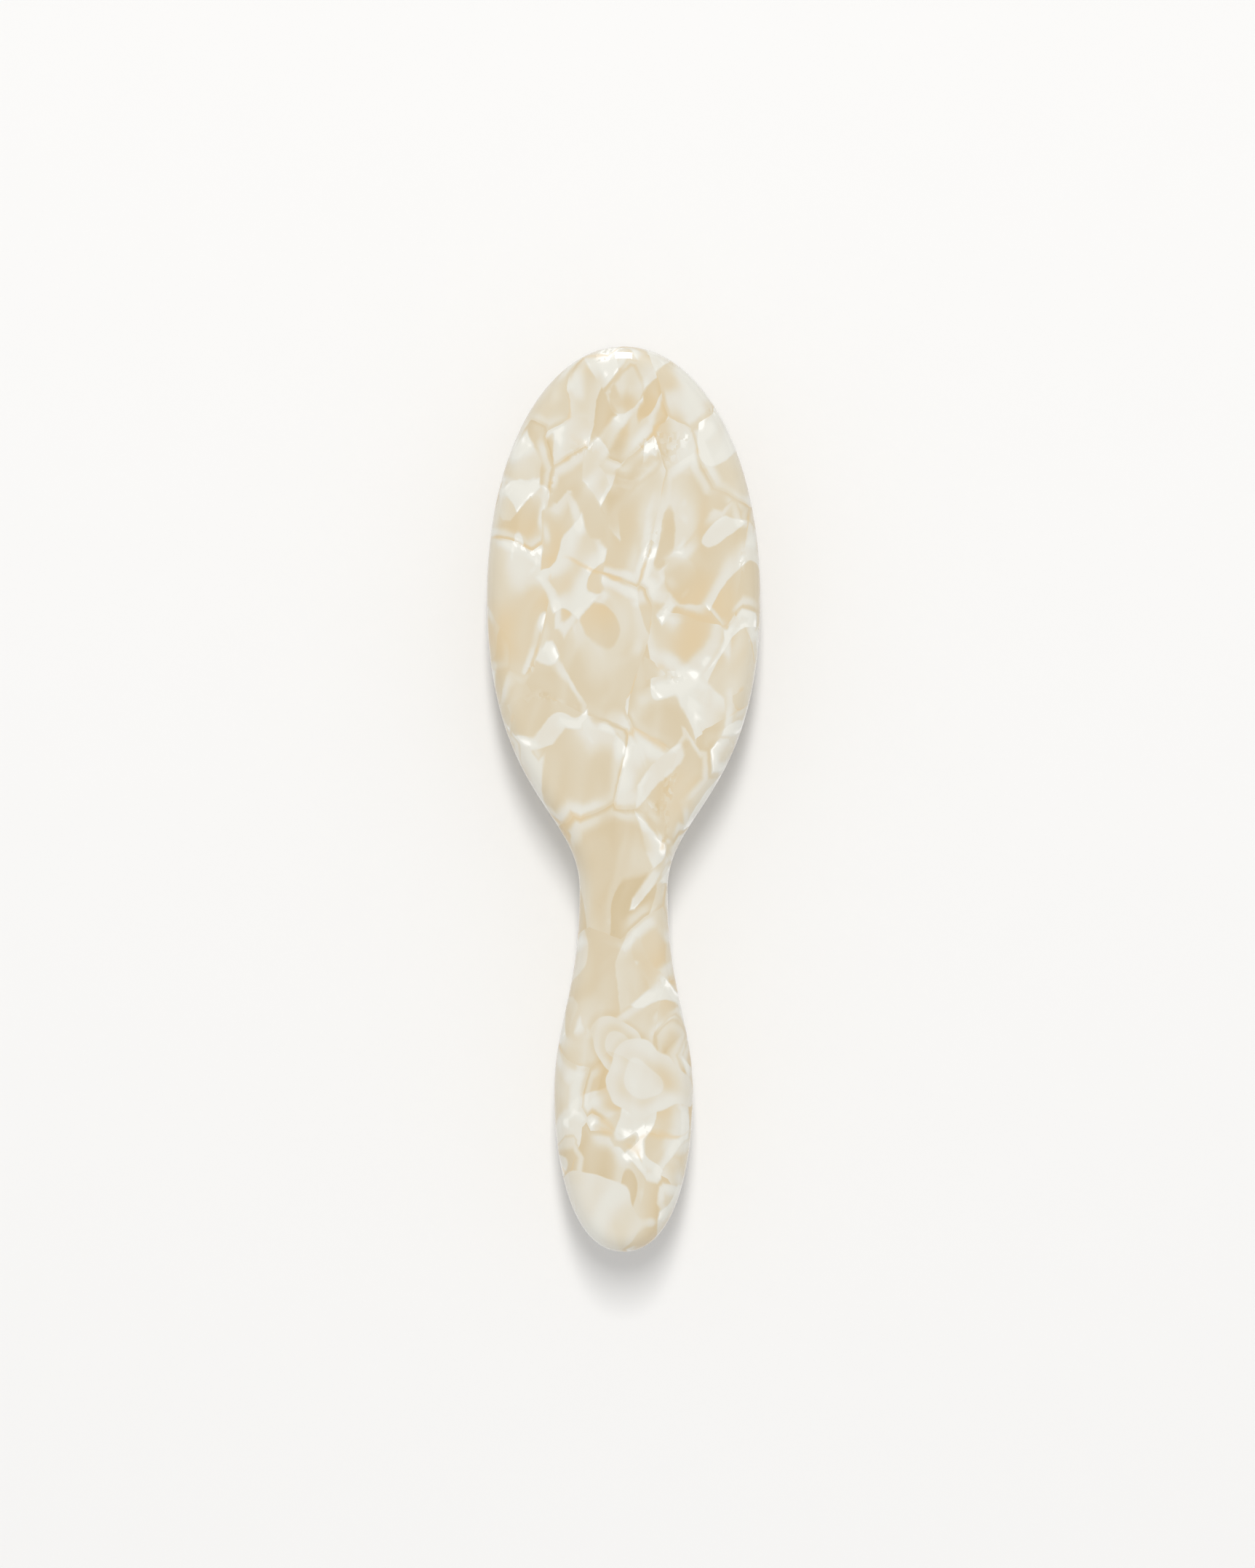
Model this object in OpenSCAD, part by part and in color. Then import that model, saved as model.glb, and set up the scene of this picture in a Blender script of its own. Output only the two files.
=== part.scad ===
// Oval cushion hairbrush.
// A slab handle, a domed rubber cushion held by its bead, a textile lining and ball-tipped pins.
// It lies on its pins: +Z is the back, +Y is the tip of the head, and z = 0 is the lowest pin tip.

/* [Handle body] */
// Length from the end of the grip to the tip of the head
overall_l = 210; // [190:1:240]
// Thickness of the slab
slab_t = 13; // [11:0.5:16]
// Radius that rounds the slab's edges, front and back
edge_r = 4.5; // [2.5:0.5:5]
// Widest part of the head
head_w = 63.4; // [58:0.2:78]
// Distance from the middle of the recess to the widest part, towards the grip
widest_shift = 2; // [0:0.5:8]
// Narrowest part of the neck
neck_w = 20.4; // [16:0.2:26]
// Distance from the recess to the neck
recess_to_neck = 24; // [20:1:34]
// Widest part of the grip
grip_w = 32.2; // [27:0.2:40]
// Distance from the neck to the widest part of the grip
neck_to_grip = 47.5; // [40:0.5:56]

/* [Recess and cushion] */
// Width of the rim beside the recess
side_rim = 6.7; // [6:0.1:9]
// Distance from the tip of the head to the recess
tip_rim = 10; // [8:0.5:14]
// Length of the recess
pad_l = 92; // [84:1:100]
// Radius of the recess's two ends
pad_end_r = 18; // [16:0.5:19]
// Depth of the recess
recess_d = 7; // [6:0.5:8]
// Height of the cushion's crown above the front of the slab
crown = 3.5; // [3:0.5:6]
// Thickness of the rubber
rubber_t = 1.5; // [1:0.1:1.8]
// Thickness of the textile lining
lining_t = 0.5; // [0.3:0.1:0.8]
// Diameter of the vent hole
vent_d = 1.8; // [1:0.1:2.2]
// Distance from the vent hole to the wall of the recess, at the grip's end
vent_edge = 3.7; // [3.5:0.1:3.9]

/* [Pins] */
// Length of a pin outside the cushion, ball included
pin_l = 17; // [12:0.5:22]
// Diameter of a pin's shaft
pin_d = 1.2; // [0.8:0.1:1.4]
// Diameter of the ball at a pin's tip
ball_d = 1.9; // [1.5:0.1:2.1]
// Diameter of a pin's foot
foot_d = 3; // [2.4:0.1:3.2]
// Thickness of a pin's foot
foot_t = 0.8; // [0.5:0.1:1]
// Rows on each side of the middle row
side_rows = 5; // [2:1:5]
// Distance from the outermost rows to the sides of the recess
row_edge = 5; // [4:0.1:6]
// Distance between the pins of a row
pin_pitch = 5.6; // [5.4:0.1:6.2]
// Least distance from a pin to the wall of the recess
pin_margin = 3.6; // [3.4:0.1:4]
// Outward lean of a pin at the edge of the cushion
splay = 8; // [0:1:10]

/* [Hidden] */
row_count = 2 * side_rows + 1;
$fn = 72;

// Heights above the lowest pin tip, and places along the brush
front_z = pin_l + crown;
back_z = front_z + slab_t;
tip_y = overall_l / 2;
pad_y = tip_y - tip_rim - pad_l / 2;
head_y = pad_y - widest_shift;
neck_y = pad_y - pad_l / 2 - recess_to_neck;
grip_y = neck_y - neck_to_grip;
pad_w = head_w - 2 * side_rim;
row_pitch = (pad_w / 2 - row_edge) / side_rows;

// Steps that draw each curve of the outline and each rounded edge
curve_steps = 16;
edge_steps = 6;

// The recess is an oval of four arcs: two ends, and two sides that meet them without a corner
end_y = pad_l / 2 - pad_end_r;
side_x = (pow(end_y, 2) - pow(pad_w / 2 - pad_end_r, 2)) / (pad_w - 2 * pad_end_r);
side_r = side_x + pad_w / 2;
side_turn = atan(end_y / side_x);

// The bead on the cushion's rim sits in a groove of the recess, measured from the front face
fit = 0.05;
bead_low = 1.6;
bead_h = 1.8;
bead_out = 0.8;
skirt = bead_low + bead_h + 0.4;

// The dome rises over its shoulder and is flat inside it
shoulder = pad_end_r - 6;
dome_steps = 6;
side_steps = 12;
end_steps = 14;
lining_edge = rubber_t + 1;

acetate = "#ddd0b4";
rubber = "#d8c9b4";
cloth = "#b9ae9c";
nylon = "#eee6d6";

// ---- Outline of the slab ----

// A point at t on the cubic curve of four control points
function cubic(p, t) =
    pow(1 - t, 3) * p[0] + 3 * pow(1 - t, 2) * t * p[1] + 3 * (1 - t) * t * t * p[2] + pow(t, 3) * p[3];

// The direction of that curve at t
function heading(p, t) =
    pow(1 - t, 2) * (p[1] - p[0]) + 2 * (1 - t) * t * (p[2] - p[1]) + t * t * (p[3] - p[2]);

// A curve between two places where the outline runs straight along the brush
function flank(a, pull_a, b, pull_b) =
    [a, [a[0], a[1] + pull_a * (b[1] - a[1])], [b[0], b[1] + pull_b * (a[1] - b[1])], b];

// A curve from such a place to an end of the brush, where it crosses the middle squarely
function cap(a, pull_a, end, reach) =
    [a, [a[0], a[1] + pull_a * (end - a[1])], [reach * a[0], end], [0, end]];

// Right side of the outline: four curves from the tip of the head to the end of the grip
widest = [head_w / 2, head_y];
neck = [neck_w / 2, neck_y];
grip = [grip_w / 2, grip_y];
head_tip = cap(widest, 0.59, tip_y, 0.55);
curves = [
    [for (i = [3 : -1 : 0]) head_tip[i]],
    flank(widest, 0.68, neck, 0.27),
    flank(neck, 0.51, grip, 0.36),
    cap(grip, 0.33, -tip_y, 0.83)
];

// Points of the right side, drawn in by a distance square to the outline
function right_side(inset) = [
    for (p = curves)
        for (i = [0 : curve_steps - 1])
            let (t = i / curve_steps, h = heading(p, t))
            cubic(p, t) + inset * [h[1], -h[0]] / norm(h)
];

// The whole outline: the right side, the end of the grip, and the right side's mirror image
function outline(inset) =
    let (right = right_side(inset))
    concat(right, [[0, inset - tip_y]], [for (i = [len(right) - 1 : -1 : 1]) [-right[i][0], right[i][1]]]);

// Height and inset of each level: a quarter round at the front, another at the back
levels = concat(
    [for (i = [edge_steps : -1 : 0]) let (a = 90 * i / edge_steps)
        [front_z + edge_r * (1 - sin(a)), edge_r * (1 - cos(a))]],
    [for (i = [0 : edge_steps]) let (a = 90 * i / edge_steps)
        [back_z - edge_r * (1 - sin(a)), edge_r * (1 - cos(a))]]
);

// Faces that join rings of points, one ring after the other
function side_faces(count, rings) = [
    for (j = [0 : rings - 2])
        for (i = [0 : count - 1])
            let (low = j * count, high = low + count, k = (i + 1) % count)
            [low + i, low + k, high + k, high + i]
];

// Faces that fill an outline with strips across the brush
function strips(first, count) = concat(
    [[first, first + 1, first + count - 1]],
    [for (i = [1 : count / 2 - 2]) [first + i, first + i + 1, first + count - i - 1, first + count - i]],
    [[first + count / 2 - 1, first + count / 2, first + count / 2 + 1]]
);
function turned_over(faces) = [for (f = faces) [for (i = [len(f) - 1 : -1 : 0]) f[i]]];

module slab() {
    count = len(outline(0));
    points = [for (v = levels) for (p = outline(v[1])) [p[0], p[1], v[0]]];
    front = turned_over(strips(0, count));
    back = strips(len(points) - count, count);
    polyhedron(points, concat(front, side_faces(count, len(levels)), back), convexity = 4);
}

// ---- The oval of the recess ----

// Distance inwards from the wall of the recess to a point given from the oval's middle
function inward(x, y) =
    atan2(abs(y), abs(x) + side_x) < side_turn
        ? side_r - norm([abs(x) + side_x, y])
        : pad_end_r - norm([x, abs(y) - end_y]);

// Points along one arc, without its last
function arc(centre, radius, from, to, steps) = [
    for (i = [0 : steps - 1])
        let (a = from + (to - from) * i / steps)
        centre + radius * [cos(a), sin(a)]
];

// The oval drawn in by a distance
function oval(inset) =
    let (side = side_r - inset, end = pad_end_r - inset)
    concat(
        arc([-side_x, 0], side, -side_turn, side_turn, side_steps),
        arc([0, end_y], end, side_turn, 180 - side_turn, end_steps),
        arc([side_x, 0], side, 180 - side_turn, 180 + side_turn, side_steps),
        arc([0, -end_y], end, 180 + side_turn, 360 - side_turn, end_steps)
    );

// A solid whose rings are ovals, each given as [inset, height above the front face]
module oval_solid(rings) {
    count = len(oval(0));
    points = [for (r = rings) for (p = oval(r[0])) [p[0], p[1], r[1]]];
    first_face = [for (i = [count - 1 : -1 : 0]) i];
    last_face = [for (i = [0 : count - 1]) len(points) - count + i];
    translate([0, pad_y, front_z])
        polyhedron(points, concat([first_face, last_face], side_faces(count, len(rings))), convexity = 8);
}

// ---- Handle body ----

// The recess, from its floor past the bead's groove to its open mouth
recess_rings = [
    [0, recess_d], [0, bead_low + bead_h + fit], [-bead_out - fit, bead_low + bead_h + fit],
    [-bead_out - fit, bead_low - fit], [0, bead_low - fit], [0, -1]
];

module handle_body() {
    color(acetate)
        difference() {
            slab();
            oval_solid(recess_rings);
        }
}

// ---- Cushion and lining ----

// How far the dome has risen at a distance inwards
function rise(inset) = crown * (1 - pow(1 - min(inset, shoulder) / shoulder, 2));

// The dome's rings between two distances inwards, set back into the head by a thickness
function dome(from, to, back) = [
    for (i = [0 : dome_steps]) let (inset = from + (to - from) * i / dome_steps)
        [inset, back - rise(inset)]
];

// From the crown's inner face out to the rim, round the skirt and its bead, and up the dome
cushion_rings = concat(
    dome(shoulder, fit + rubber_t, rubber_t),
    [[fit + rubber_t, skirt], [fit, skirt], [fit, bead_low + bead_h]],
    [[fit - bead_out, bead_low + bead_h - 0.3], [fit - bead_out, bead_low + 0.3], [fit, bead_low]],
    dome(fit, shoulder, 0)
);

lining_back = rubber_t + fit;
lining_rings = concat(
    dome(shoulder, lining_edge, lining_back + lining_t),
    dome(lining_edge, shoulder, lining_back)
);

// What passes through the rubber and the cloth: the pins' holes and the vent
module piercings() {
    for (row = [-side_rows : side_rows])
        for (place = row_places(row))
            at_pin(place)
                translate([0, 0, -crown])
                    cylinder(h = 3 * crown, d = pin_d + 2 * fit);
    translate([0, pad_y + vent_edge - pad_l / 2, front_z - crown])
        cylinder(h = 3 * crown, d = vent_d);
}

module cushion() {
    color(rubber)
        difference() {
            oval_solid(cushion_rings);
            piercings();
        }
}

module lining() {
    color(cloth)
        difference() {
            oval_solid(lining_rings);
            piercings();
        }
}

// ---- Pins ----

// Places of a row's pins from the cushion's middle. Every second row is shifted by half a pitch
function row_places(row) =
    let (shift = row % 2 == 0 ? 0 : 0.5, most = ceil(pad_l / 2 / pin_pitch))
    [
        for (j = [-most : most])
            let (x = row * row_pitch, y = (j + shift) * pin_pitch)
            if (inward(x, y) >= pin_margin) [x, y]
    ];

// Height of a pin's foot over the dome's outer face, so that its lower edge clears the lining
function seat(inset) = lining_back + lining_t + 3 * fit + rise(inset) - rise(inset - foot_d / 2);

// Stands its child on the dome at a pin's place, leaning outwards
module at_pin(place) {
    translate([place[0], pad_y + place[1], front_z - rise(inward(place[0], place[1]))])
        rotate([2 * splay * place[1] / pad_l, -2 * splay * place[0] / pad_w, 0])
            children();
}

// One pin, tip down, with the cushion's outer face at z = 0. The foot bears on the lining
module pin(seat) {
    translate([0, 0, ball_d / 2 - pin_l]) {
        sphere(d = ball_d);
        cylinder(h = pin_l - ball_d / 2 + seat + foot_t, d = pin_d);
    }
    translate([0, 0, seat])
        cylinder(h = foot_t, d = foot_d);
}

module pin_row(k) {
    color(nylon)
        for (place = row_places(k - side_rows - 1))
            at_pin(place)
                pin(seat(inward(place[0], place[1])));
}

handle_body();
cushion();
lining();
for (k = [1 : row_count]) pin_row(k);
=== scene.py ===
import math

import bmesh
import bpy
from mathutils import Euler, Matrix, Vector


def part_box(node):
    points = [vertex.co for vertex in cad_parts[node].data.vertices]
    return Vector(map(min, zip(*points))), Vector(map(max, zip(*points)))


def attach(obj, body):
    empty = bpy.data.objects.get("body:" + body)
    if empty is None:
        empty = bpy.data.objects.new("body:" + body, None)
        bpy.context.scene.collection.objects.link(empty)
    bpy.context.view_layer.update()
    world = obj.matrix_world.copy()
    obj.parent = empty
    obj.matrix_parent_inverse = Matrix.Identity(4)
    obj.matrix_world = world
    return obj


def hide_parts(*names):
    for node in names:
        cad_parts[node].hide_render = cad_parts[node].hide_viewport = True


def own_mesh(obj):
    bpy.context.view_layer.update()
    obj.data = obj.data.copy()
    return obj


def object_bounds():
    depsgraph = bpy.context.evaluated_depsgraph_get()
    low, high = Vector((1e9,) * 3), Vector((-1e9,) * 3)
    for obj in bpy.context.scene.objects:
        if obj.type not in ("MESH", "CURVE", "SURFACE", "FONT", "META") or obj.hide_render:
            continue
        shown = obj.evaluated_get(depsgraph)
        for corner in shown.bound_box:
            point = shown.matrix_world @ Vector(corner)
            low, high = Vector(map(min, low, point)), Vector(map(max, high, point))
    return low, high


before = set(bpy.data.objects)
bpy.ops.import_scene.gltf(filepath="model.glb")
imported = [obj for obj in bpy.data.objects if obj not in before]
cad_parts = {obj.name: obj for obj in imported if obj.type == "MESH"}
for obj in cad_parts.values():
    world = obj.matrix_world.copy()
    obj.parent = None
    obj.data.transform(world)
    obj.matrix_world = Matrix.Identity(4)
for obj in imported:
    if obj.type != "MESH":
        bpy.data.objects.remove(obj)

cad_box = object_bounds()
mm = 0.001

# ---- Table, light and camera ----
# The brush lies on its pins on a pale matt table in an evenly lit room. A long softbox hangs beyond the
# tip of the head and a small one straight over the back, and a tall lit window stands further off on
# the tip's side. A long lens looks straight down on the back.

lens_height = 1.5
picture_tall = 362.6 * mm
picture_middle = (0.9 * mm, 3.5 * mm)
sensor_tall = 36.0

table_size = 6.0
table_paint = ((0.886, 0.881, 0.872, 1), (0.892, 0.887, 0.878, 1))
softbox_wide, softbox_deep = 0.26, 1.05
softbox_place = (0, 0.92, 2.67)
softbox_power = 40.0
ceiling_wide = 0.24
ceiling_place = (0, -0.1, 3.2)
ceiling_power = 8.0
window_wide, window_tall = 0.26, 1.2
window_away = 1.25
window_sill = 0.1
window_power = 13.0
lamp_tint = (1.0, 0.99, 0.97)
room_light = 0.53
room_tint = (0.985, 0.99, 1.0, 1)


def lay_table():
    bm = bmesh.new()
    bmesh.ops.create_grid(bm, x_segments=12, y_segments=12, size=table_size / 2)
    mesh = bpy.data.meshes.new("table")
    bm.to_mesh(mesh)
    bm.free()
    table = bpy.data.objects.new("table", mesh)
    bpy.context.collection.objects.link(table)
    paint = bpy.data.materials.new("table_paint")
    paint.use_nodes = True
    tree = paint.node_tree
    coat = tree.nodes["Principled BSDF"]
    grain = tree.nodes.new("ShaderNodeTexNoise")
    grain.inputs["Scale"].default_value = 350
    tone = tree.nodes.new("ShaderNodeMix")
    tone.data_type = "RGBA"
    tone.inputs[6].default_value, tone.inputs[7].default_value = table_paint
    tree.links.new(grain.outputs["Fac"], tone.inputs[0])
    tree.links.new(tone.outputs[2], coat.inputs["Base Color"])
    coat.inputs["Roughness"].default_value = 0.9
    coat.inputs["Specular IOR Level"].default_value = 0.1
    mesh.materials.append(paint)


def hang_lamp(name, size_x, size_y, power, place, aim):
    """A rectangular lamp that faces a point."""
    lamp = bpy.data.lights.new(name, "AREA")
    lamp.shape = "RECTANGLE"
    lamp.size, lamp.size_y = size_x, size_y
    lamp.energy = power
    lamp.color = lamp_tint
    holder = bpy.data.objects.new(name, lamp)
    holder.location = place
    holder.rotation_euler = (Vector(aim) - Vector(place)).to_track_quat("-Z", "Y").to_euler()
    bpy.context.collection.objects.link(holder)
    return holder


camera = bpy.data.objects.new("camera", bpy.data.cameras.new("camera"))
camera.data.sensor_fit = "VERTICAL"
camera.data.sensor_height = sensor_tall
camera.data.lens = sensor_tall * lens_height / picture_tall
camera.data.clip_end = 20.0
camera.location = (picture_middle[0], picture_middle[1], cad_box[1].z + lens_height)
bpy.context.collection.objects.link(camera)
bpy.context.scene.camera = camera
bpy.context.scene.view_settings.view_transform = "Standard"

# neither softbox shows mirrored in the polish
for name, wide, deep, power, place in (
    ("softbox", softbox_wide, softbox_deep, softbox_power, softbox_place),
    ("ceiling_box", ceiling_wide, ceiling_wide, ceiling_power, ceiling_place),
):
    hang_lamp(name, wide, deep, power, place, (0, 0, 0)).visible_glossy = False

# the window does the opposite: it shows in the polish and lights nothing else
window_middle = window_sill + window_tall / 2
window = hang_lamp("window", window_wide, window_tall, window_power, (0, window_away, window_middle),
                   (0, 0, window_middle))
window.visible_diffuse = False

room = bpy.data.worlds.new("room")
room.use_nodes = True
room.node_tree.nodes["Background"].inputs["Color"].default_value = room_tint
room.node_tree.nodes["Background"].inputs["Strength"].default_value = room_light
bpy.context.scene.world = room

lay_table()

# ---- Handle body ----
# Head, neck and grip are routed in one piece from a pressed sheet of pearl acetate, its edges
# rounded over and the whole buffed to a mirror. The recess for the cushion is milled from the front,
# with a groove under its lip that holds the rubber's bead.

body_low, body_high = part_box("handle_body")
front_z, back_z = body_low.z, body_high.z
tip_y, end_y = body_high.y, body_low.y
half_head = body_high.x
half_neck = 10.2 * mm
half_grip = 16.1 * mm
edge_round = 4.5 * mm
flat_land = 0.3 * mm

# the recess: an oval of four arcs, and where the outline is widest and narrowest past it
side_rim = 6.7 * mm
tip_rim = 10 * mm
pad_length = 92 * mm
pad_end_round = 18 * mm
recess_deep = 7 * mm
recess_bevel = 0.6 * mm
pad_half = half_head - side_rim
pad_y = tip_y - tip_rim - pad_length / 2
head_y = pad_y - 2 * mm
neck_y = pad_y - pad_length / 2 - 24 * mm
grip_y = neck_y - 47.5 * mm

arc_y = pad_length / 2 - pad_end_round
arc_x = (arc_y ** 2 - (pad_half - pad_end_round) ** 2) / (2 * (pad_half - pad_end_round))
arc_round = arc_x + pad_half
arc_turn = math.atan2(arc_y, arc_x)

lip_round = 0.35 * mm
groove_low, groove_high, groove_deep = 1.55 * mm, 3.45 * mm, 0.85 * mm


def cubic(p, t):
    """A point on a curve with four control points."""
    s = 1 - t
    return s ** 3 * p[0] + 3 * s * s * t * p[1] + 3 * s * t * t * p[2] + t ** 3 * p[3]


def heading(p, t):
    """The direction of the same curve."""
    s = 1 - t
    return (s * s * (p[1] - p[0]) + 2 * s * t * (p[2] - p[1]) + t * t * (p[3] - p[2])).normalized()


def flank(a, pull_a, b, pull_b):
    """A curve between two places where the outline runs straight along the brush."""
    drop = b[1] - a[1]
    pulls = Vector((a[0], a[1] + pull_a * drop)), Vector((b[0], b[1] - pull_b * drop))
    return [Vector(a), *pulls, Vector(b)]


def cap(a, pull, y, reach):
    """A curve from such a place to an end of the brush, which it crosses squarely."""
    return [Vector(a), Vector((a[0], a[1] + pull * (y - a[1]))), Vector((reach * a[0], y)), Vector((0, y))]


widest, neck, grip = (half_head, head_y), (half_neck, neck_y), (half_grip, grip_y)
outline_curves = [
    cap(widest, 0.59, tip_y, 0.55)[::-1],
    flank(widest, 0.68, neck, 0.27),
    flank(neck, 0.51, grip, 0.36),
    cap(grip, 0.33, end_y, 0.83),
]


def outline(inset, steps=48):
    """Points round the slab, drawn in by a distance: the right side and its mirror image."""
    right = []
    for p in outline_curves:
        for i in range(steps):
            h = heading(p, i / steps)
            right.append(cubic(p, i / steps) + inset * Vector((h.y, -h.x)))
    end = Vector((0, end_y + inset))
    return right + [end] + [Vector((-p.x, p.y)) for p in right[:0:-1]]


def oval(inset, side_steps=60, end_steps=64):
    """Points round the recess's oval, drawn in by a distance."""
    points = []
    for x, y, r, start, stop, steps in (
        (-arc_x, 0, arc_round, -arc_turn, arc_turn, side_steps),
        (0, arc_y, pad_end_round, arc_turn, math.pi - arc_turn, end_steps),
        (arc_x, 0, arc_round, math.pi - arc_turn, math.pi + arc_turn, side_steps),
        (0, -arc_y, pad_end_round, math.pi + arc_turn, 2 * math.pi - arc_turn, end_steps),
    ):
        for i in range(steps):
            a = start + (stop - start) * i / steps
            points.append(Vector((x + (r - inset) * math.cos(a), pad_y + y + (r - inset) * math.sin(a))))
    return points


def ring(bm, points, z):
    return [bm.verts.new((p.x, p.y, z)) for p in points]


def skin(bm, rings):
    """Quads that join each ring to the next."""
    for low, high in zip(rings, rings[1:]):
        for i in range(len(low)):
            k = (i + 1) % len(low)
            bm.faces.new((low[i], low[k], high[k], high[i]))


def loop_edges(bm, loop):
    return [bm.edges.get((loop[i], loop[(i + 1) % len(loop)])) for i in range(len(loop))]


def as_piece(bm, name, sharp=35):
    """The finished mesh as an object, smooth but for edges sharper than an angle."""
    bmesh.ops.recalc_face_normals(bm, faces=bm.faces)
    mesh = bpy.data.meshes.new(name)
    bm.to_mesh(mesh)
    bm.free()
    mesh.shade_smooth()
    mesh.set_sharp_from_angle(angle=math.radians(sharp))
    piece = bpy.data.objects.new(name, mesh)
    bpy.context.collection.objects.link(piece)
    return piece


def mill_body():
    steps = 12
    rounding = [(edge_round * (1 - math.cos(a)), edge_round * (1 - math.sin(a)))
                for a in (math.pi / 2 * i / steps for i in range(steps + 1))]
    bm = bmesh.new()
    levels = [(edge_round + flat_land, front_z)]
    levels += [(inset, front_z + rise) for inset, rise in rounding[::-1]]
    levels += [(inset, back_z - rise) for inset, rise in rounding]
    levels += [(edge_round + flat_land, back_z)]
    shell = [ring(bm, outline(inset), z) for inset, z in levels]
    skin(bm, shell)
    bm.faces.new(shell[-1])

    lip = [(-lip_round * (1 - math.sin(a)), front_z + lip_round * (1 - math.cos(a)))
           for a in (math.pi / 2 * i / 5 for i in range(6))]
    walls = lip + [
        (0, front_z + groove_low), (-groove_deep, front_z + groove_low),
        (-groove_deep, front_z + groove_high), (0, front_z + groove_high),
        (0, front_z + recess_deep - recess_bevel), (recess_bevel, front_z + recess_deep),
    ]
    pocket = [ring(bm, oval(inset), z) for inset, z in walls]
    skin(bm, pocket)
    bm.faces.new(pocket[-1])
    rims = loop_edges(bm, shell[0]) + loop_edges(bm, pocket[0])
    bmesh.ops.triangle_fill(bm, use_beauty=True, edges=rims, normal=(0, 0, -1))
    return as_piece(bm, "acetate_body")


class Finish:
    """A material that is built up node by node."""

    def __init__(self, name):
        self.material = bpy.data.materials.new(name)
        self.material.use_nodes = True
        self.tree = self.material.node_tree
        self.tree.nodes.clear()

    def add(self, kind, sockets=None, **settings):
        """A node with its settings, and its inputs set to numbers or linked to other nodes."""
        made = self.tree.nodes.new("ShaderNode" + kind)
        for key, value in settings.items():
            setattr(made, key, value)
        for key, value in (sockets or {}).items():
            if isinstance(value, bpy.types.NodeSocket):
                self.tree.links.new(value, made.inputs[key])
            else:
                made.inputs[key].default_value = value
        return made

    def calc(self, operation, a, b=0.0, c=0.0):
        """One step of arithmetic."""
        return self.add("Math", {0: a, 1: b, 2: c}, operation=operation).outputs[0]

    def vector(self, operation, a, b=(0, 0, 0)):
        made = self.add("VectorMath", {0: a, 1: b}, operation=operation)
        return made.outputs["Value" if operation in ("DOT_PRODUCT", "LENGTH") else "Vector"]

    def smooth(self, value, low, high, start=0.0, end=1.0):
        """A soft step from start at low to end at high."""
        sockets = {"Value": value, "From Min": low, "From Max": high, "To Min": start, "To Max": end}
        return self.add("MapRange", sockets, interpolation_type="SMOOTHSTEP").outputs["Result"]

    def blend(self, share, a, b):
        """Colour a with a share of colour b over it."""
        made = self.add("Mix", data_type="RGBA", blend_type="MIX")
        for socket, value in ((made.inputs["Factor"], share), (made.inputs[6], a), (made.inputs[7], b)):
            if isinstance(value, bpy.types.NodeSocket):
                self.tree.links.new(value, socket)
            else:
                socket.default_value = value
        return made.outputs[2]

    def ramp(self, value, stops):
        """A colour that runs through a list of stops."""
        made = self.add("ValToRGB", {"Fac": value})
        band = made.color_ramp
        while len(band.elements) < len(stops):
            band.elements.new(0.5)
        for element, (place, colour) in zip(band.elements, stops):
            element.position, element.color = place, colour
        return made.outputs["Color"]

    def noise(self, place, scale, detail=2.0, roughness=0.5, twist=0.0):
        """A cloudy pattern with features of about 1 / scale metres."""
        return self.add("TexNoise", {"Vector": place, "Scale": scale, "Detail": detail,
                                     "Roughness": roughness, "Distortion": twist})

    def surface(self, sockets):
        gloss = self.add("BsdfPrincipled", sockets)
        out = self.add("OutputMaterial")
        self.tree.links.new(gloss.outputs["BSDF"], out.inputs["Surface"])
        return self.material


def shade(red, green, blue):
    """A colour from the 0 to 255 values of a colour card."""
    linear = [((c / 255 + 0.055) / 1.055) ** 2.4 if c > 10 else c / 255 / 12.92 for c in (red, green, blue)]
    return (*linear, 1)


# the acetate from deep cream through grey white, and at the top the near white of the painted glints and
# sparkle
pearl_stops = [
    (0.00, shade(206, 187, 150)),
    (0.16, shade(212, 196, 165)),
    (0.36, shade(216, 204, 179)),
    (0.55, shade(220, 212, 193)),
    (0.70, shade(223, 218, 205)),
    (0.84, shade(226, 224, 214)),
    (0.94, shade(238, 236, 227)),
    (1.00, shade(252, 250, 243)),
]


def chips(f, place, size, lean, shift, warp):
    """One layer of angular chips. Gives the distance to a chip's border in millimetres, three numbers
    that differ from chip to chip, and places that jump at each border."""
    laid = f.add("Mapping", {"Vector": place, "Location": shift, "Rotation": (0.15, 0.1, lean),
                             "Scale": (1.18, 0.84, 1)})
    laid = f.vector("ADD", laid.outputs[0], warp)
    cells = {"Vector": laid, "Scale": 1 / size, "Randomness": 0.88}
    first = f.add("TexVoronoi", cells, feature="F1", distance="CHEBYCHEV")
    second = f.add("TexVoronoi", cells, feature="F2", distance="CHEBYCHEV")
    border = f.calc("SUBTRACT", second.outputs["Distance"], first.outputs["Distance"])
    border = f.calc("MULTIPLY", border, 0.5 * size / mm)
    luck = f.add("SeparateColor", {"Color": first.outputs["Color"]}).outputs
    jump = f.vector("MULTIPLY", first.outputs["Color"], (0.3, 0.3, 0.3))
    return border, luck, f.vector("ADD", laid, jump)


def folds_with_sheen(f, place, stretch, luck, scale, count):
    """Pearl streaks in a chip, partly the acetate's own pattern and partly painted sheen: paler softly up
    to the crest of each fold and dropping back sharply past it.
    """
    field = f.noise(f.vector("MULTIPLY", place, stretch), scale, 0.7, 0.4, 0.35).outputs["Fac"]
    turn = f.calc("FRACT", f.calc("MULTIPLY_ADD", field, count, luck))
    haze = f.calc("MULTIPLY", f.smooth(turn, 0.0, 0.8), 0.32)
    veil = f.calc("MULTIPLY_ADD", f.smooth(turn, 0.42, 0.86), 0.68, haze)
    return f.calc("MULTIPLY", veil, f.smooth(turn, 0.99, 0.93))


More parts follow.
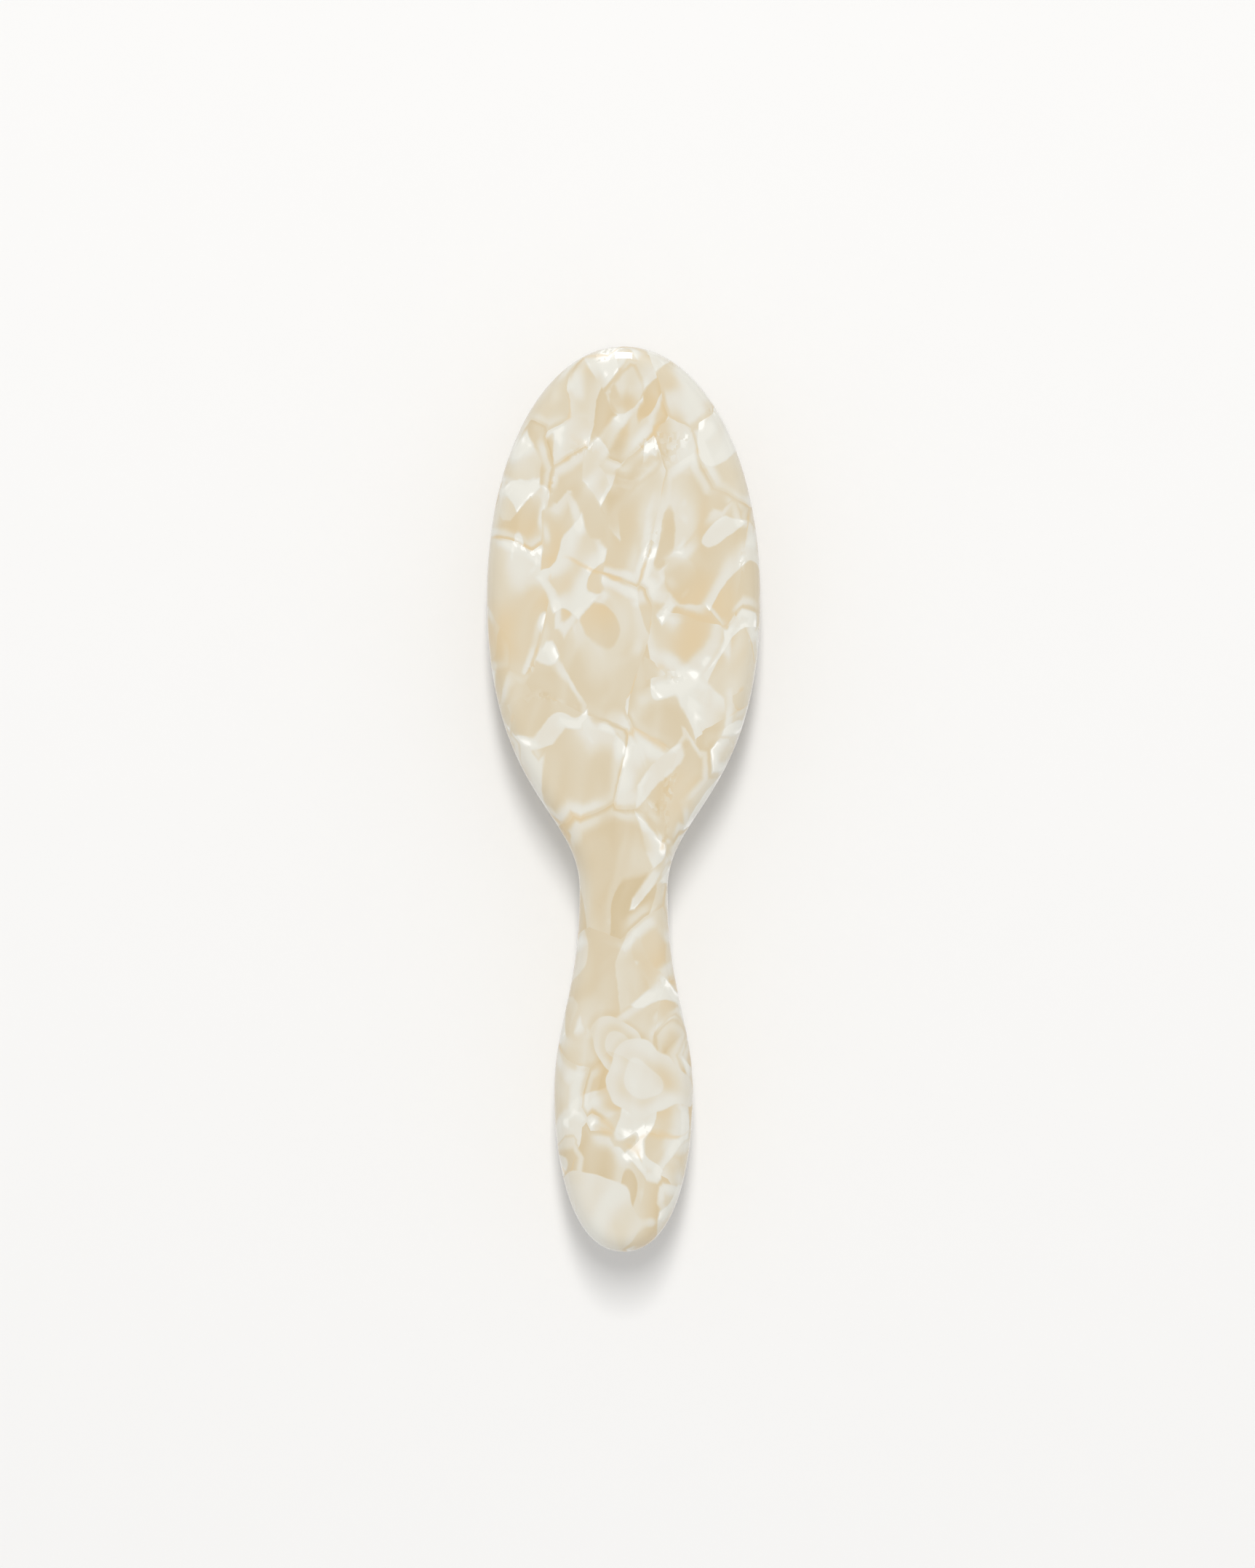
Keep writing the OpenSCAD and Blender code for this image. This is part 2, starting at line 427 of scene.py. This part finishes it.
def pearl_acetate():
    f = Finish("pearl_acetate")
    place = f.add("TexCoord").outputs["Object"]

    # pressing the chips together bends their borders, and leaves them a little ragged
    bend = f.vector("SUBTRACT", f.noise(place, 48.0, 1.0).outputs["Color"], (0.5, 0.5, 0.5))
    ragged = f.vector("SUBTRACT", f.noise(place, 500.0, 2.0).outputs["Color"], (0.5, 0.5, 0.5))
    warp = f.vector("ADD", f.vector("MULTIPLY", bend, (6 * mm,) * 3),
                    f.vector("MULTIPLY", ragged, (0.5 * mm,) * 3))

    border_a, luck_a, place_a = chips(f, place, 26 * mm, 0.3, (0.52, 0.23, 0.0), warp)
    border_b, luck_b, place_b = chips(f, place, 19 * mm, -0.7, (0.11, 0.63, 0.05), warp)

    # how strongly the folds of each chip carry their painted sheen, and how pale the chip is between its
    # folds
    fold_sheen_a = folds_with_sheen(f, place_a, (1.35, 0.75, 1), luck_a[1], 50.0, 3.4)
    fold_sheen_b = folds_with_sheen(f, place_b, (0.8, 1.3, 1), luck_b[1], 56.0, 3.6)
    ground_a = f.calc("MULTIPLY_ADD", luck_a[0], 0.38, 0.08)
    ground_b = f.calc("MULTIPLY_ADD", luck_b[0], 0.38, 0.1)
    pearl_a = f.calc("MULTIPLY_ADD", fold_sheen_a, f.smooth(luck_a[2], 0.1, 0.8, 0.26, 0.5), ground_a)
    pearl_b = f.calc("MULTIPLY_ADD", fold_sheen_b, f.smooth(luck_b[2], 0.1, 0.8, 0.26, 0.52), ground_b)

    # a pale rim runs along the border of many chips
    along = f.noise(place, 95.0, 1.0).outputs["Fac"]
    rim_a = f.calc("MULTIPLY", f.smooth(border_a, 0.15, 0.9), f.smooth(border_a, 2.6, 1.2))
    rim_b = f.calc("MULTIPLY", f.smooth(border_b, 0.1, 0.8), f.smooth(border_b, 2.0, 1.0))
    rim_a = f.calc("MULTIPLY", rim_a, f.smooth(along, 0.38, 0.6, 0.0, 0.42))
    rim_b = f.calc("MULTIPLY", rim_b, f.smooth(along, 0.62, 0.42, 0.0, 0.4))
    pearl_a = f.calc("ADD", pearl_a, rim_a)
    pearl_b = f.calc("ADD", pearl_b, rim_b)

    # some of the small chips lie over the big ones
    over = f.calc("MULTIPLY", f.smooth(luck_b[2], 0.46, 0.48), f.smooth(border_b, 0.0, 0.5))
    pearl = f.calc("ADD", f.calc("MULTIPLY", pearl_b, over),
                  f.calc("MULTIPLY", pearl_a, f.calc("SUBTRACT", 1.0, over)))

    # three rounder pale chips lie over the others on the back of the grip, two of them banded: where
    # their middles are, half their widths and lengths, and how strongly they are banded
    height = f.add("SeparateXYZ", {"Vector": place}).outputs[2]
    upper = f.smooth(height, front_z + 8 * mm, front_z + 9.5 * mm)
    uneven = f.calc("MULTIPLY_ADD", f.noise(place, 105.0, 0.5).outputs["Fac"], 1.2, -0.6)
    mist = f.noise(place, 85.0, 1.0).outputs["Fac"]
    bare = None
    for middle_x, middle_y, half_wide, half_long, banding in (
        (-2.1, -56.8, 6.0, 6.8, 1.0),
        (4.9, -65.0, 9.4, 9.2, 1.0),
        (-6.5, -95.5, 12.0, 9.5, 0.0),
    ):
        away = f.vector("SUBTRACT", place, (middle_x * mm, middle_y * mm, 0))
        away = f.vector("MULTIPLY", away, (1 / (half_wide * mm), 1 / (half_long * mm), 0))
        away = f.calc("ADD", f.vector("LENGTH", away), uneven)
        band = f.calc("MULTIPLY", f.smooth(away, 0.44, 0.52), f.smooth(away, 0.92, 0.56))
        core = f.smooth(mist, 0.3, 0.7, 0.6, 0.82 + 0.06 * banding)
        core = f.calc("MULTIPLY_ADD", band, -0.2 * banding, core)
        laid_over = f.calc("MULTIPLY", f.smooth(away, 1.04, 0.98), upper)
        shaded = f.calc("MULTIPLY", f.calc("MULTIPLY", f.smooth(away, 1.3, 1.02), upper), 0.16 * banding)
        pearl = f.calc("SUBTRACT", pearl, shaded)
        beside = f.calc("SUBTRACT", 1.0, laid_over)
        pearl = f.calc("ADD", f.calc("MULTIPLY", core, laid_over), f.calc("MULTIPLY", pearl, beside))
        bare = beside if bare is None else f.calc("MULTIPLY", bare, beside)

    # soft paler and darker streaks lie over the chips, partly the acetate's own tone and partly painted
    # sheen
    tone_and_sheen = f.noise(f.vector("MULTIPLY", place_a, (1.4, 0.9, 1)), 95.0, 0.6, 0.4, 0.8).outputs["Fac"]
    pearl = f.calc("ADD", pearl, f.smooth(tone_and_sheen, 0.25, 0.75, -0.09, 0.09))

    # no pearl is paler than this but for the painted glints: painted highlights where a fold's crest meets
    # a chip's border
    pearl = f.calc("SMOOTH_MIN", pearl, 0.88, 0.35)
    crest = f.smooth(f.calc("MAXIMUM", f.calc("MULTIPLY", fold_sheen_b, over), fold_sheen_a), 0.8, 0.98)
    painted_glint = f.calc("MULTIPLY", crest, f.smooth(f.calc("MINIMUM", border_a, border_b), 1.1, 0.3))
    painted_glint = f.calc("MULTIPLY", painted_glint, f.smooth(f.noise(place, 150.0, 1.0).outputs["Fac"], 0.48, 0.62))
    painted_glint = f.calc("MULTIPLY", painted_glint, bare)
    pearl = f.calc("ADD", pearl, f.calc("MULTIPLY", painted_glint, 0.2))

    # crackle: tiny flakes beside a few borders, the dull ones a darker tone and the bright ones painted
    # sparkle
    crackle = f.add("TexVoronoi", {"Vector": f.vector("MULTIPLY", place, (1.0, 0.6, 1.0)), "Scale": 1300.0},
                    feature="F1", distance="CHEBYCHEV")
    grit = f.add("SeparateColor", {"Color": crackle.outputs["Color"]}).outputs[0]
    patch = f.smooth(f.noise(place, 75.0, 1.0).outputs["Fac"], 0.56, 0.64)
    patch = f.calc("MULTIPLY", patch, f.smooth(border_a, 1.3, 0.4))
    flake_and_sparkle = f.calc("MULTIPLY", f.smooth(grit, 0.0, 1.0, -0.16, 0.16), patch)
    pearl = f.calc("ADD", pearl, flake_and_sparkle)

    colour = f.ramp(pearl, pearl_stops)

    # amber shows through in broad patches and in the gaps between chips
    amber = f.smooth(f.noise(place, 34.0, 1.5).outputs["Fac"], 0.48, 0.68)
    deep = f.calc("MULTIPLY", amber, f.smooth(pearl, 0.62, 0.2))
    colour = f.blend(f.calc("MULTIPLY", deep, 0.7), colour, shade(221, 197, 155))
    gap = f.calc("MULTIPLY", f.smooth(border_a, f.smooth(along, 0.4, 0.65, 0.2, 0.9), 0.0), bare)
    gap = f.calc("MULTIPLY", gap, f.smooth(f.noise(place, 120.0, 2.0).outputs["Fac"], 0.5, 0.62))
    colour = f.blend(f.calc("MULTIPLY", gap, 0.5), colour, shade(222, 196, 150))

    soft = f.add("Bump", {"Strength": 0.12, "Distance": 0.4 * mm, "Height": pearl})
    return f.surface({
        "Base Color": colour,
        "Roughness": f.smooth(pearl, 0.1, 0.9, 0.5, 0.34),
        "IOR": 1.48,
        "Specular IOR Level": 0.3,
        "Normal": soft.outputs["Normal"],
        "Coat Weight": 1.0,
        "Coat Roughness": 0.02,
        "Coat IOR": 1.49,
    })


body = mill_body()
body.data.materials.append(pearl_acetate())
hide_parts("handle_body")
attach(body, "brush")

# ---- Cushion ----
# The cushion is a moulded membrane of ivory rubber, domed by the air behind it. A bead round its skirt
# snaps into the groove of the recess. Each pin pulls a small dimple where it passes through, and one
# hole near the grip lets the air in and out.

crown = front_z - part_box("cushion")[0].z
shoulder = 12 * mm
rubber_thick = 1.5 * mm
fit = 0.05 * mm
bead_low, bead_high, bead_out = 1.6 * mm, 3.4 * mm, 0.8 * mm
skirt = 3.8 * mm
skirt_bevel = 0.2 * mm
rim_sunk = 0.6 * mm
vent_wide = 1.8 * mm
vent_y = 3.7 * mm - pad_length / 2

# the pins' holes: rows along the brush, every second one shifted by half a pitch
side_rows = 5
row_edge = 5 * mm
pitch = 5.6 * mm
margin = 3.6 * mm
shaft_wide = 1.2 * mm
splay = math.radians(8)
dimple_deep, dimple_wide = 0.28 * mm, 1.1 * mm


def inward(x, y):
    """Distance to the wall of the recess from a point given from its middle."""
    if math.atan2(abs(y), abs(x) + arc_x) < arc_turn:
        return arc_round - math.hypot(abs(x) + arc_x, y)
    return pad_end_round - math.hypot(x, abs(y) - arc_y)


def rise(inset):
    return crown * (1 - (1 - min(inset, shoulder) / shoulder) ** 2)


row_pitch = (pad_half - row_edge) / side_rows
most = math.ceil(pad_length / 2 / pitch)
rows = []
for row in range(-side_rows, side_rows + 1):
    places = [(row * row_pitch, (j + 0.5 * (row % 2)) * pitch) for j in range(-most, most + 1)]
    rows.append([p for p in places if inward(*p) >= margin])


def stand(x, y):
    """The place and lean of a pin on the dome."""
    turn = Euler((2 * splay * y / pad_length, -splay * x / pad_half, 0))
    return Matrix.Translation((x, pad_y + y, front_z - rise(inward(x, y)))) @ turn.to_matrix().to_4x4()


def punch(piece, wide):
    """Holes for the pins and the vent, cut through a membrane."""
    bm = bmesh.new()
    for x, y in (p for places in rows for p in places):
        bmesh.ops.create_cone(bm, cap_ends=True, segments=14, radius1=wide / 2, radius2=wide / 2,
                              depth=3 * crown, matrix=stand(x, y))
    bmesh.ops.create_cone(bm, cap_ends=True, segments=24, radius1=vent_wide / 2, radius2=vent_wide / 2,
                          depth=4 * crown, matrix=Matrix.Translation((0, pad_y + vent_y, front_z)))
    mesh = bpy.data.meshes.new("punches")
    bm.to_mesh(mesh)
    bm.free()
    punches = bpy.data.objects.new("punches", mesh)
    bpy.context.collection.objects.link(punches)
    cut = piece.modifiers.new("punch", "BOOLEAN")
    cut.operation, cut.solver, cut.object = "DIFFERENCE", "MANIFOLD", punches
    ready = piece.evaluated_get(bpy.context.evaluated_depsgraph_get())
    piece.data = bpy.data.meshes.new_from_object(ready)
    piece.data.materials.clear()
    piece.modifiers.clear()
    bpy.data.objects.remove(punches)
    piece.data.shade_smooth()
    piece.data.set_sharp_from_angle(angle=math.radians(40))


def membrane(bm, start, back, across, dimples):
    """Rings of a domed skin from a distance inwards to the spine of the oval, set back by a thickness."""
    rings = []
    rim = oval(start)
    for k in range(across + 1):
        t = k / across
        loop = []
        for p in rim:
            spine_y = (p.y - pad_y) * arc_y / (pad_length / 2)
            x, y = p.x * (1 - t), (p.y - pad_y) * (1 - t) + spine_y * t
            h = rise(max(inward(x, y), 0)) - back
            if dimples:
                near = min((x - u) ** 2 + (y - v) ** 2 for u, v in dimples)
                h -= dimple_deep * math.exp(-near / (dimple_wide / 2) ** 2)
            loop.append(bm.verts.new((x, pad_y + y, front_z - h)))
        rings.append(loop)
    return rings


def mould_dome():
    bm = bmesh.new()
    holes = [p for places in rows for p in places]
    outer = membrane(bm, fit, 0, 52, holes)
    inner = membrane(bm, fit + rubber_thick, rubber_thick, 26, None)
    edge = ring(bm, oval(fit), front_z + rim_sunk)
    skin(bm, outer)
    skin(bm, inner)
    skin(bm, [outer[0], edge, inner[0]])
    bmesh.ops.remove_doubles(bm, verts=outer[-1], dist=0.02 * mm)
    bmesh.ops.remove_doubles(bm, verts=[v for v in inner[-1] if v.is_valid], dist=0.02 * mm)
    bmesh.ops.dissolve_degenerate(bm, dist=0.001 * mm, edges=bm.edges)
    return as_piece(bm, "cushion_dome", 50)


def mould_rim():
    bm = bmesh.new()
    low, high = rim_sunk - 0.1 * mm, rubber_thick + fit
    wall = [(fit, low), (fit, bead_low)]
    wall += [(fit - bead_out * math.sin(math.pi * i / 8), bead_low + (bead_high - bead_low) * i / 8)
             for i in range(1, 8)]
    wall += [(fit, bead_high), (fit, skirt - skirt_bevel), (fit + skirt_bevel, skirt),
             (high - skirt_bevel, skirt), (high, skirt - skirt_bevel), (high, low)]
    rings = [ring(bm, oval(inset), front_z + z) for inset, z in wall]
    skin(bm, rings + rings[:1])
    return as_piece(bm, "cushion_rim")


def ivory_rubber():
    f = Finish("ivory_rubber")
    place = f.add("TexCoord").outputs["Object"]
    mottle = f.noise(place, 60.0, 3.0).outputs["Fac"]
    grain = f.noise(place, 2600.0, 3.0, 0.6).outputs["Fac"]
    bloom = f.noise(place, 240.0, 4.0, 0.65).outputs["Fac"]
    colour = f.blend(f.smooth(mottle, 0.3, 0.7), shade(214, 199, 173), shade(223, 210, 186))
    colour = f.blend(f.smooth(bloom, 0.55, 0.75, 0.0, 0.35), colour, shade(232, 224, 207))
    height = f.add("Bump", {"Strength": 0.25, "Distance": 0.05 * mm, "Height": grain})
    return f.surface({
        "Base Color": colour,
        "Roughness": f.smooth(bloom, 0.35, 0.7, 0.5, 0.66),
        "Normal": height.outputs["Normal"],
        "IOR": 1.52,
        "Specular IOR Level": 0.4,
        "Subsurface Weight": 0.15,
        "Subsurface Radius": (1.0, 0.7, 0.45),
        "Subsurface Scale": 0.8 * mm,
        "Sheen Weight": 0.08,
        "Sheen Roughness": 0.5,
    })


rubber = ivory_rubber()
dome = mould_dome()
punch(dome, shaft_wide + 2 * fit)
dome.data.materials.append(rubber)
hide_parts("cushion")
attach(dome, "brush")
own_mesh(dome)

rim = mould_rim()
rim.data.materials.append(rubber)
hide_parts("cushion")
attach(rim, "brush")

# ---- Lining ----
# A piece of plain-woven cotton, punched with the same holes, is stretched over the pins' feet behind
# the rubber. It keeps the feet from pulling through.

lining_thick = 0.5 * mm
lining_edge = rubber_thick + 1 * mm
thread = 0.42 * mm


def cut_lining():
    bm = bmesh.new()
    front = membrane(bm, lining_edge, rubber_thick + fit, 24, None)
    back = membrane(bm, lining_edge, rubber_thick + fit + lining_thick, 24, None)
    skin(bm, front)
    skin(bm, back)
    skin(bm, [front[0], back[0]])
    bmesh.ops.remove_doubles(bm, verts=front[-1], dist=0.02 * mm)
    bmesh.ops.remove_doubles(bm, verts=back[-1], dist=0.02 * mm)
    bmesh.ops.dissolve_degenerate(bm, dist=0.001 * mm, edges=bm.edges)
    return as_piece(bm, "lining_cloth", 50)


def plain_weave():
    f = Finish("plain_weave")
    place = f.add("TexCoord").outputs["Object"]
    at = f.add("SeparateXYZ", {"Vector": place}).outputs
    per = 2 * math.pi / (2 * thread)
    warp = f.calc("SINE", f.calc("MULTIPLY", at[0], per))
    weft = f.calc("SINE", f.calc("MULTIPLY", at[1], per))
    over = f.calc("MULTIPLY", warp, weft)
    fibre = f.noise(f.vector("MULTIPLY", place, (1, 0.25, 1)), 5200.0, 2.0).outputs["Fac"]
    slub = f.noise(place, 180.0, 2.0).outputs["Fac"]
    colour = f.blend(f.smooth(over, -0.9, 0.9), shade(176, 163, 143), shade(203, 193, 175))
    colour = f.blend(f.smooth(slub, 0.55, 0.75, 0.0, 0.4), colour, shade(190, 172, 143))
    height = f.calc("MULTIPLY_ADD", fibre, 0.35, f.calc("ABSOLUTE", over))
    bump = f.add("Bump", {"Strength": 0.6, "Distance": 0.12 * mm, "Height": height})
    return f.surface({
        "Base Color": colour,
        "Roughness": 0.9,
        "Normal": bump.outputs["Normal"],
        "Sheen Weight": 0.25,
        "Sheen Roughness": 0.45,
    })


lining = cut_lining()
punch(lining, shaft_wide + 2 * fit)
lining.data.materials.append(plain_weave())
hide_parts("lining")
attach(lining, "pad")
edge_points = oval(lining_edge)
pairs = zip(edge_points, edge_points[1:] + edge_points[:1])
cloth_area = abs(sum(a.x * b.y - b.x * a.y for a, b in pairs)) / 2

# ---- Pins ----
# Each pin is moulded in one piece from milky nylon: a flat foot behind the lining, a shaft that thins
# towards the tip, and a smooth ball. The pins of a row lean outwards a little, as the dome makes them.

pin_long = 17 * mm
ball_wide = 1.9 * mm
neck_wide = 1 * mm
foot_wide, foot_thick = 3 * mm, 0.8 * mm


def pin_profile(seat):
    """Radius and height of a pin from the tip of its ball to the back of its foot."""
    ball, shaft, thin, foot = ball_wide / 2, shaft_wide / 2, neck_wide / 2, foot_wide / 2
    middle = ball - pin_long
    profile = [(ball * math.sin(a), middle - ball * math.cos(a))
               for a in (math.radians(d) for d in (20, 42, 65, 90, 115, 135))]
    profile += [(thin * 1.08, middle + ball * 0.88), (thin, middle + ball * 1.5),
                (thin * 1.06, middle * 0.6), (shaft, middle * 0.2)]
    profile += [(shaft, seat - 0.1 * mm), (shaft + 0.1 * mm, seat),
                (foot - 0.12 * mm, seat), (foot, seat + 0.12 * mm),
                (foot, seat + foot_thick - 0.2 * mm), (foot - 0.2 * mm, seat + foot_thick)]
    return middle - ball, profile, seat + foot_thick


def mould_row(number, places, sides=14):
    bm = bmesh.new()
    for x, y in places:
        inset = inward(x, y)
        seat = rubber_thick + lining_thick + 4 * fit + rise(inset) - rise(inset - foot_wide / 2)
        tip_z, profile, back = pin_profile(seat)
        spot = stand(x, y)
        rings = []
        for r, z in profile:
            turns = (2 * math.pi * i / sides for i in range(sides))
            points = [Vector((r * math.cos(a), r * math.sin(a), z)) for a in turns]
            rings.append([bm.verts.new(spot @ point) for point in points])
        skin(bm, rings)
        tip = bm.verts.new(spot @ Vector((0, 0, tip_z)))
        heel = bm.verts.new(spot @ Vector((0, 0, back)))
        for i in range(sides):
            bm.faces.new((tip, rings[0][(i + 1) % sides], rings[0][i]))
            bm.faces.new((heel, rings[-1][i], rings[-1][(i + 1) % sides]))
    return as_piece(bm, f"pins_{number}", 50)


def milky_nylon():
    f = Finish("milky_nylon")
    place = f.add("TexCoord").outputs["Object"]
    height = f.add("SeparateXYZ", {"Vector": place}).outputs[2]
    batch = f.noise(place, 130.0, 1.0).outputs["Fac"]
    flow = f.noise(f.vector("MULTIPLY", place, (1, 1, 0.12)), 2400.0, 2.0).outputs["Fac"]
    # the nylon is paler at the tips and darker and warmer towards the feet
    colour = f.blend(f.smooth(height, 0.0, front_z), shade(240, 234, 219), shade(228, 219, 199))
    colour = f.blend(f.smooth(batch, 0.35, 0.65, 0.0, 0.5), colour, shade(233, 222, 198))
    bump = f.add("Bump", {"Strength": 0.15, "Distance": 0.03 * mm, "Height": flow})
    return f.surface({
        "Base Color": colour,
        "Roughness": f.smooth(flow, 0.3, 0.7, 0.24, 0.36),
        "Normal": bump.outputs["Normal"],
        "IOR": 1.53,
        "Subsurface Weight": 0.5,
        "Subsurface Radius": (1.0, 0.85, 0.65),
        "Subsurface Scale": 0.7 * mm,
    })


nylon = milky_nylon()
for number, places in enumerate(rows, 1):
    pins = mould_row(number, places)
    pins.data.materials.append(nylon)
    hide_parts(f"pin_row_{number}")
    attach(pins, f"row_{number}")
